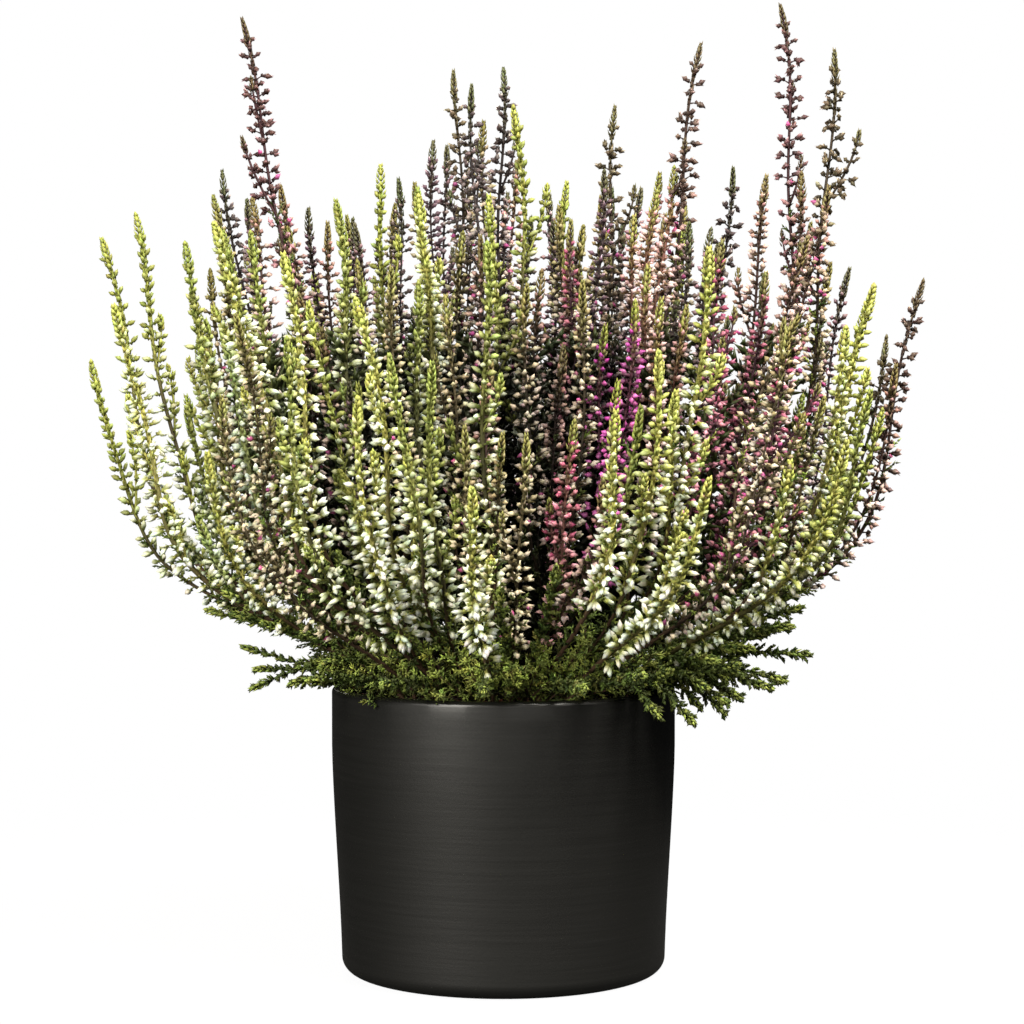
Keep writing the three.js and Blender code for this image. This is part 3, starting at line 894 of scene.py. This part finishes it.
def basal_shoots(piece, root_at, rng):
    """Short leafy shoots round the foot of a stem, which hide the soil and push out over the rim."""
    outward = unit(np.array([*root_at, 0.0]))
    outer = smooth(0.35, 0.75, np.linalg.norm(root_at))
    front_left = smooth(0.2, 0.65, root_at @ FRONT_LEFT)
    for _ in range(int(BASAL_SHOOTS * (0.15 + 0.85 * outer))):
        foot = place(root_at, rng.uniform(-1.5, 16))
        foot = foot + rng.normal(0, 4.5, 3) * (1, 1, 0) + outward * rng.uniform(-4, 10) * outer
        foot[:2] *= min(1, BASAL_RADIUS / np.linalg.norm(foot[:2]))
        angle = rng.uniform(0, 2 * math.pi)
        axis = np.array([math.cos(angle), math.sin(angle), rng.uniform(0.3, 1.3)]) + outward * 1.1 * outer
        reach = unit(axis) * rng.uniform(13, 22 + 7 * outer)
        bend = np.array([0, 0, 0.5 * rng.uniform(-0.15, 0.4)]) * np.linalg.norm(reach)
        way = Way([foot + reach * t + bend * t * t for t in np.linspace(0, 1, 6)])
        # Painted light: the shoots at the front left get lighter, greener colours, as if more light fell on
        # them.
        lit = rng.uniform(0.7, 1.7) + FRONT_LEFT_PAINTED_LIGHT * front_left
        painted_brightening = 1 + FRONT_LEFT_PAINTED_BRIGHTENING * front_left
        leafy_twigs(piece, way, rng, 0.6, way.length, 1.8, (4.0, 7.5), lit, painted_brightening=painted_brightening)
        piece.tube(way, np.linspace(0, way.length, 4), [0.25, 0.4, 0.5, 0.6], WOOD, 3)


def deep_twigs(piece, way, rng):
    """Twigs on a stem in the middle or at the back of the bush, between its lower buds, coloured dark as
    painted shade.
    """
    at = disc_place(way.points[0])
    if np.linalg.norm(at) > DEEP_RADIUS or at[1] < DEEP_FRONT:
        return
    apart = [np.linalg.norm(way.points - way.above(height), axis=1) for height in DEEP_TWIGS]
    high, low = (way.back[gap.argmin()] for gap in apart)
    # Painted shade: lit 0.15 gives these real twigs dark colours in place of the shade inside the bush.
    leafy_twigs(piece, way, rng, max(high, 35), low, 5.8, (13, 21), 0.15, 2.6, 7.8)


def side_spikes(piece, way, rng, tone, flowers):
    """Small flowering side branches low on a spike, each with a green tip of its own."""
    end = min(flowers + 12, way.length - 20)
    for back in np.arange(52 + rng.uniform(0, 20), end, rng.uniform(24, 38)):
        at, ahead, out = way.around([back], [rng.uniform(0, 2 * math.pi)])
        length = rng.uniform(20, 36)
        along = np.linspace(0, 1, 8)[:, None]
        points = at + (ahead * along + out * 0.336 * np.sin(along * math.pi / 2)) * length
        if np.linalg.norm(disc_place(points[-1])) > 1 or points[-1][2] < LOWEST_TIP:
            continue
        branch = Way(points)
        leafy_tip(piece, branch, rng, tone, length=7, width=0.8 * tone.form.tip_width)
        bud_spike(piece, branch, rng, tone, length, 4, from_tip=6)
        stem(piece, branch, rng, tone, 0.45, 0.5, 60)


def spike(piece, way, rng, shoot, foot, foot_radius, plain=False):
    """One shoot: leafy tip, buds, small side branches, and leafy twigs below the buds."""
    tone = TONES[shoot.tone]
    flowers = min(rng.uniform(*FLOWER_LENGTH), way.length * shoot.share)
    leafy_tip(piece, way, rng, tone, width=tone.form.tip_width)
    stem_leaves(piece, way, rng, tone)
    bud_spike(piece, way, rng, tone, flowers, foot, plain=plain)
    if not plain:
        side_spikes(piece, way, rng, tone, flowers)
    stem(piece, way, rng, tone, tone.form.stem, foot_radius, flowers - 40)
    leafy_twigs(piece, way, rng, flowers - MIXED_TWIGS, flowers, 8.0 if plain else 4.0, (4, 8))
    leafy_twigs(piece, way, rng, flowers, way.length - foot * 0.5, 3.4 if plain else 2.1, (5, 10))
    deep_twigs(piece, way, rng)


def sprig_way(root, foot, outermost):
    """The way of a short leafy sprig from a point of a stem. The outermost ones lie out over the rim."""
    if outermost:
        outward = unit(root)
        profile = OVER_RIM + [(numbers.between(*OVER_RIM_REACH), numbers.between(*OVER_RIM_END))]
        return [foot] + [np.array([*(outward * radius), SOIL_TOP + height]) for radius, height in profile]
    aside = np.array([numbers.between(-1, 1), numbers.between(-1, 1)])
    at = root + unit(aside) * SPRIG_ASIDE
    height = numbers.between(*SPRIG_TOP)
    return branch_way(foot, SimpleNamespace(at=at, height=height, lean=0))


def sprig(piece, way, rng):
    """A sprig without flowers, set with leafy twigs from near its foot to its tip. Left ones are slender."""
    leafy_tip(piece, way, rng, SPRIG_TONE, length=8, width=1.4)
    stem(piece, way, rng, SPRIG_TONE, 0.6, 0.9, 25)
    slender = way.points[0][0] < SLENDER_BEYOND
    step, size = (1.5, (1.5, 3)) if slender else (1.25, (2.5, 6))
    # Painted light: the sprigs' twigs are coloured lighter, as if 2.8 times as lit as usual.
    leafy_twigs(piece, way, rng, 2, way.length - 6, step, size, 2.8, 1.55, 2.5)


def add_low_sprigs(roots):
    """Gives each low sprig to the outermost spray that stands nearest to its line."""
    outer = [root for root in roots if root.outermost]
    for x, y, height in LOW_SPRIGS:
        outward = unit(np.array([x, y], float))
        root = max(outer, key=lambda root: unit(root.at) @ outward)
        root.low_sprigs.append(np.array([x, y, SOIL_TOP + height], float))


def low_sprig(piece, foot, end, rng):
    """A long leafy sprig from a stem's foot, over the rim and down to its end."""
    over = np.array([*(unit(end[:2]) * (RIM_RADIUS - 3)), SOIL_TOP + 11])
    share = np.linspace(0, 1, 14)[:, None]
    points = (1 - share) ** 2 * foot + 2 * share * (1 - share) * over + share**2 * end
    points[:, 2] += 7 * np.sin(math.pi * share[:, 0])
    sprig(piece, Way(points), rng)


def spray(index, root, materials):
    """The piece that stands for one spray's solid."""
    rng = np.random.default_rng(SPRAY_SEED + index)
    piece = Piece(f"heather_{index:02d}_{root.kind}")
    lead, *others = root.shoots
    buried = [place(root.at, -STEM_DEPTH), place(root.at, -STEM_DEPTH / 2)]
    # The solids turn each shoot's sides by a random angle, and so the number is drawn and not used here.
    numbers.draw()
    main = Way(buried + shoot_way(root.at, 0, lead))
    spike(piece, main, rng, lead, STEM_DEPTH + 8, 1.1)
    for i, shoot in enumerate(others):
        numbers.draw()
        foot = main.above(SIDE_SHOOTS_FROM + SIDE_SHOOT_STEP * i)
        spike(piece, Way(branch_way(foot, shoot)), rng, shoot, 6, 0.7)
    for shoot in root.inner:
        foot = main.above(rng.uniform(*FILL_FROM))
        spike(piece, Way(branch_way(foot, shoot)), rng, shoot, 12, 0.6, plain=True)
    basal_shoots(piece, root.at, rng)
    if np.linalg.norm(root.at) > SPRIGS_FROM:
        way = Way(sprig_way(root.at, main.above(SPRIG_HEIGHT), root.outermost))
        numbers.draw()
        sprig(piece, way, rng)
    for end in root.low_sprigs:
        low_sprig(piece, main.above(SPRIG_HEIGHT), end, rng)
    made = piece.build(materials)
    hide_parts(f"spray_{index:02d}_{root.kind}")


class Nodes:
    """Adds and joins the nodes of a material or of the world."""

    def __init__(self, owner):
        owner.use_nodes = True
        self.nodes, self.links = owner.node_tree.nodes, owner.node_tree.links

    def fill(self, node, inputs):
        """Sets inputs of a node: another node's output is joined to it, and anything else is a constant."""
        for name, value in inputs.items():
            if isinstance(value, bpy.types.NodeSocket):
                self.links.new(value, node.inputs[name])
            else:
                node.inputs[name].default_value = value

    def add(self, kind, output, inputs, **settings):
        """One output of a new node. The settings come first, because a node's inputs follow from them."""
        node = self.nodes.new("ShaderNode" + kind)
        for name, value in settings.items():
            setattr(node, name, value)
        self.fill(node, inputs)
        return node.outputs[output]

    def noise(self, scale, detail=4.0, stretch=(1, 1, 1)):
        """A noise texture in the piece's own metres."""
        at = self.add("TexCoord", "Object", {})
        stretched = self.add("Mapping", "Vector", {"Vector": at, "Scale": stretch})
        return self.add("TexNoise", "Fac", {"Vector": stretched, "Scale": scale, "Detail": detail})

    def ramp(self, value, *stops):
        """A colour from stops of (place, colour), where one number is a grey."""
        output = self.add("ValToRGB", "Color", {"Fac": value})
        elements = output.node.color_ramp.elements
        while len(elements) < len(stops):
            elements.new(0.5)
        for element, (position, colour) in zip(elements, stops):
            element.position = position
            element.color = (*np.broadcast_to(colour, 3), 1)
        return output

    def bump(self, height, strength, distance):
        return self.add("Bump", "Normal", {"Height": height, "Strength": strength, "Distance": distance})


def new_material(name):
    material = bpy.data.materials.new(name)
    nodes = Nodes(material)
    return material, nodes, nodes.nodes["Principled BSDF"]


def plant_material(name, roughness, subsurface, grain, dark, light, bump):
    """A material whose colour is the mesh's tone, lighter and darker in a fine grain."""
    material, nodes, shader = new_material(name)
    tone = nodes.add("Attribute", "Color", {}, attribute_name="tone")
    texture = nodes.noise(grain)
    grey = nodes.ramp(texture, (0.3, dark), (0.7, light))
    mix = {"Factor": 1, "A": tone, "B": grey}
    nodes.fill(shader, {
        "Base Color": nodes.add("Mix", "Result", mix, data_type="RGBA", blend_type="MULTIPLY"),
        "Roughness": roughness,
        "Specular IOR Level": 0.28,
        "Subsurface Weight": subsurface,
        "Subsurface Radius": (0.9, 0.8, 0.4),
        "Subsurface Scale": 0.0015,
        "Normal": nodes.bump(texture, bump, 0.0003),
    })
    return material


def stoneware_material():
    """Matt charcoal glaze: faint turning lines, a fine grain, slightly uneven sheen and a rubbed rim."""
    material, nodes, shader = new_material("charcoal_stoneware")
    grain = nodes.noise(900, 6)
    lines = nodes.noise(60, 5, (0.35, 0.35, 9))
    cloud = nodes.noise(14, 3)
    at = nodes.add("TexCoord", "Object", {})
    height = nodes.add("SeparateXYZ", "Z", {"Vector": at})
    rim = {"Value": height, "From Min": (PLANTER_HEIGHT - 2.4) * MM, "From Max": (PLANTER_HEIGHT - 1.0) * MM}
    rubbed = {
        "Factor": nodes.add("MapRange", "Result", rim),
        "A": nodes.ramp(lines, (0.3, 0.5), (0.7, 0.58)),
        "B": 0.24,
    }
    relief = nodes.add("Mix", "Result", {"Factor": 0.35, "A": lines, "B": grain})
    nodes.fill(shader, {
        "Base Color": nodes.ramp(cloud, (0.3, (0.0045, 0.0045, 0.0041)), (0.7, (0.006, 0.006, 0.0055))),
        "Roughness": nodes.add("Mix", "Result", rubbed),
        "Specular IOR Level": 0.34,
        "Coat Weight": 0.25,
        "Coat Roughness": 0.14,
        "Normal": nodes.bump(relief, 0.35, 0.0003),
    })
    return material


def peat_material():
    material, nodes, shader = new_material("peat")
    texture = nodes.noise(320, 8)
    stops = [(0.3, (0.008, 0.005, 0.004)), (0.52, (0.035, 0.016, 0.01)), (0.75, (0.11, 0.05, 0.03))]
    nodes.fill(shader, {
        "Base Color": nodes.ramp(texture, *stops),
        "Roughness": 0.95,
        "Normal": nodes.bump(texture, 1.0, 0.002),
    })
    return material


def floor_material():
    """Pale and matt under the planter, and fading into the pale surround further out."""
    material, nodes, shader = new_material("pale_floor")
    nodes.fill(shader, {"Base Color": (0.88, 0.88, 0.88, 1), "Roughness": 0.8})
    at = nodes.add("TexCoord", "Object", {})
    distance = nodes.add("VectorMath", "Value", {0: at}, operation="LENGTH")
    near, far = FLOOR_CLEAR
    fading = {"Value": distance, "From Min": near, "From Max": far, "To Min": 0.96}
    fade = nodes.add("MapRange", "Result", fading, interpolation_type="SMOOTHSTEP")
    clear = nodes.add("BsdfTransparent", "BSDF", {})
    surface = nodes.add("MixShader", "Shader", {"Fac": fade, 1: shader.outputs["BSDF"], 2: clear})
    nodes.fill(nodes.nodes["Material Output"], {"Surface": surface})
    return material


def quarter_round(x, z, radius, start, end, steps):
    """Points of (place, radius) along a rounded edge with a given centre."""
    angles = np.radians(np.linspace(start, end, steps + 1))
    return [(z + radius * math.sin(a), x + radius * math.cos(a)) for a in angles]


def taper(z):
    """From 0 at the top of the foot's curve to 1 where the wall stands upright."""
    return min(1, (z - FOOT_CURVE) / (TAPER_FROM - FOOT_CURVE))


def inner_radius(z):
    return between(BELLY_RADIUS, RIM_RADIUS, taper(z)) - WALL


def planter(material):
    """The planter with the solid's own profile in fine steps, its edges rolled and its bends eased."""
    lip = PLANTER_HEIGHT - LIP_CURVE
    inside = FLOOR + WALL
    profile = [(0, 0), (0, FOOT_RADIUS * 0.5)]
    profile += quarter_round(FOOT_RADIUS, FOOT_CURVE, FOOT_CURVE, -90, 0, 12)
    for z in np.linspace(FOOT_CURVE, lip, 16)[1:-1]:
        eased = between(taper(z), float(smooth(0, 1, taper(z))), 0.4)
        profile.append((z, between(BELLY_RADIUS, RIM_RADIUS, eased)))
    profile += quarter_round(RIM_RADIUS - LIP_CURVE, lip, LIP_CURVE, 0, 90, 8)
    profile += quarter_round(RIM_RADIUS - WALL + LIP_CURVE, lip, LIP_CURVE, 90, 180, 8)
    profile += [(z, inner_radius(z)) for z in np.linspace(lip - 3, inside, 5)]
    profile += quarter_round(inner_radius(inside) - WALL, inside, WALL, 0, -90, 6)
    profile.append((FLOOR, 0))
    turned = spindle(ROUND_SIDES, profile)
    made = mesh_object("stoneware_planter", turned["corners"], turned["faces"], [material])
    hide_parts("planter")


def scattered(rng, n, reach, height, rise):
    """Places near the soil's surface, and directions that lie or stand a little up from it."""
    angle, radius = rng.uniform(0, 2 * math.pi, n), reach * np.sqrt(rng.random(n))
    at = np.stack([radius * np.cos(angle), radius * np.sin(angle), np.full(n, SOIL_TOP + height)], -1)
    return at, np.stack([rng.normal(0, 1, n), rng.normal(0, 1, n), rng.uniform(*rise, n)], -1)


def litter(material):
    """Crumbs of peat and dry needles that lie on the soil."""
    rng = np.random.default_rng(LITTER_SEED)
    piece = Piece("soil_litter")
    n = CRUMB_COUNT
    at, axis = scattered(rng, n, CRUMB_RADIUS, -0.4, (0.1, 0.8))
    side = rng.normal(0, 1, (n, 3))
    size = rng.uniform(1.2, 3.4, n)
    colours = varied(rng, mixed(PEAT, RED_PEAT, rng.random(n) ** 1.5), 0.25, n)
    width = size * rng.uniform(0.28, 0.45, n)
    piece.add(CRUMB, at, axis, side, size, width, colours * 0.7, colours, 0, (0, 1))
    n = NEEDLE_COUNT
    at, axis = scattered(rng, n, NEEDLE_RADIUS, 0.3, (0, 0.35))
    colours = varied(rng, DRY_NEEDLE, 0.3, n)
    side = rng.normal(0, 1, (n, 3))
    piece.add(NEEDLE, at, axis, side, rng.uniform(2, 5, n), 0.3, colours, colours, 0)
    piece.build([material])


def area_light(name, at, size, power):
    """A soft box that is turned towards the middle of the bush."""
    light = bpy.data.lights.new(name, "AREA")
    light.shape = "RECTANGLE"
    light.size, light.size_y = size
    light.energy = power
    light.color = WARM
    made = add_object(name, light)
    made.location = at
    made.rotation_mode = "QUATERNION"
    made.rotation_quaternion = Vector(np.subtract(LIT_POINT, at)).to_track_quat("-Z", "Y")


def surround():
    """A world that the camera sees as white, and that lights the scene only faintly."""
    world = bpy.data.worlds.new("surround")
    bpy.context.scene.world = world
    nodes = Nodes(world)
    seen = nodes.nodes["Background"]
    nodes.fill(seen, {"Color": (1, 1, 1, 1), "Strength": 1.0})
    lit = nodes.add("Background", "Background", {"Strength": AMBIENT})
    camera_ray = nodes.add("LightPath", "Is Camera Ray", {})
    mix = {"Fac": camera_ray, 1: lit, 2: seen.outputs["Background"]}
    nodes.fill(nodes.nodes["World Output"], {"Surface": nodes.add("MixShader", "Shader", mix)})


def studio():
    """A pale floor and surround, and soft boxes in front, at both sides, above and behind."""
    bpy.ops.mesh.primitive_circle_add(vertices=96, radius=FLOOR_RADIUS, fill_type="NGON", location=(0, 0, 0))
    floor = bpy.context.object
    floor.name = "floor"
    floor.data.materials.append(floor_material())
    surround()
    for name, (at, size, power) in LIGHTS.items():
        area_light(name, at, size, power)


def photo_camera():
    """The camera that the photograph's perspective asks for: level with the bush, turned slightly down."""
    data = bpy.data.cameras.new("camera")
    data.sensor_width = 36
    data.lens = data.sensor_width * FOCAL_PX / IMAGE_PX
    data.clip_start, data.clip_end = 0.05, 50
    made = add_object("camera", data)
    made.location = np.array(CAMERA_AT) * MM
    pitch = math.atan((IMAGE_PX / 2 - HORIZON_PX) / FOCAL_PX)
    made.rotation_euler = (math.pi / 2 - pitch, 0, 0)
    bpy.context.scene.camera = made


photo_camera()
studio()
planter(stoneware_material())
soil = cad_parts["soil"]
soil.data.materials.clear()
soil.data.materials.append(peat_material())
litter(plant_material("dry_litter", 0.9, 0.0, 900, 0.6, 1.2, 0.8))

# The slots BUDS, LEAVES and BARK. The colours are in the meshes, and these add grain, gloss and bump.
plant_materials = [
    plant_material("heather_bud", 0.42, 0.15, 700, 0.86, 1.08, 0.15),
    plant_material("heather_leaf", 0.5, 0.0, 900, 0.8, 1.12, 0.2),
    plant_material("heather_bark", 0.75, 0.0, 1400, 0.65, 1.2, 0.6),
]
shoots = grow_shoots()
roots = group_shoots(shoots)
add_inner(roots, shoots)
add_low_sprigs(roots)
for index, root in enumerate(roots, 1):
    spray(index, root, plant_materials)

bpy.context.scene.view_settings.view_transform = "Standard"
